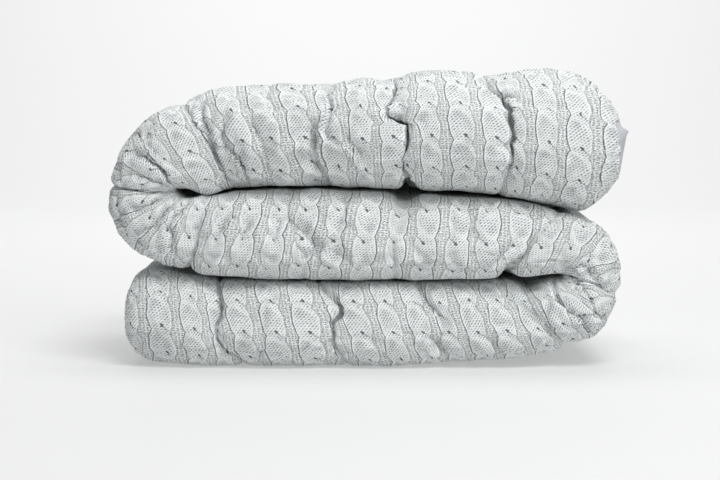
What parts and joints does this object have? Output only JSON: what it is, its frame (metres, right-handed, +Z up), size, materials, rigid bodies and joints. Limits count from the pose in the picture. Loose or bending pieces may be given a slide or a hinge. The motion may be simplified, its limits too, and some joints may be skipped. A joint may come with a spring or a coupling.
{
  "type": "folded duvet",
  "caption": "Filled quilted duvet, folded along its length and then back and forth in three, with rounded front folds and a knit-look print",
  "frame": {"origin": "bottom centre of the folded duvet's bounding box, on the floor it rests on", "axes": "+X along the folded bundle to the right as seen from its front, +Y from the rounded front folds to the back folds, +Z up"},
  "size_m": [0.5862, 0.371, 0.336],
  "materials": {
    "printed_cloth": "soft matt woven cloth with a grey knit-look print"
  },
  "bodies": {
    "root": {"duvet": "printed_cloth"}
  },
  "joints": []
}
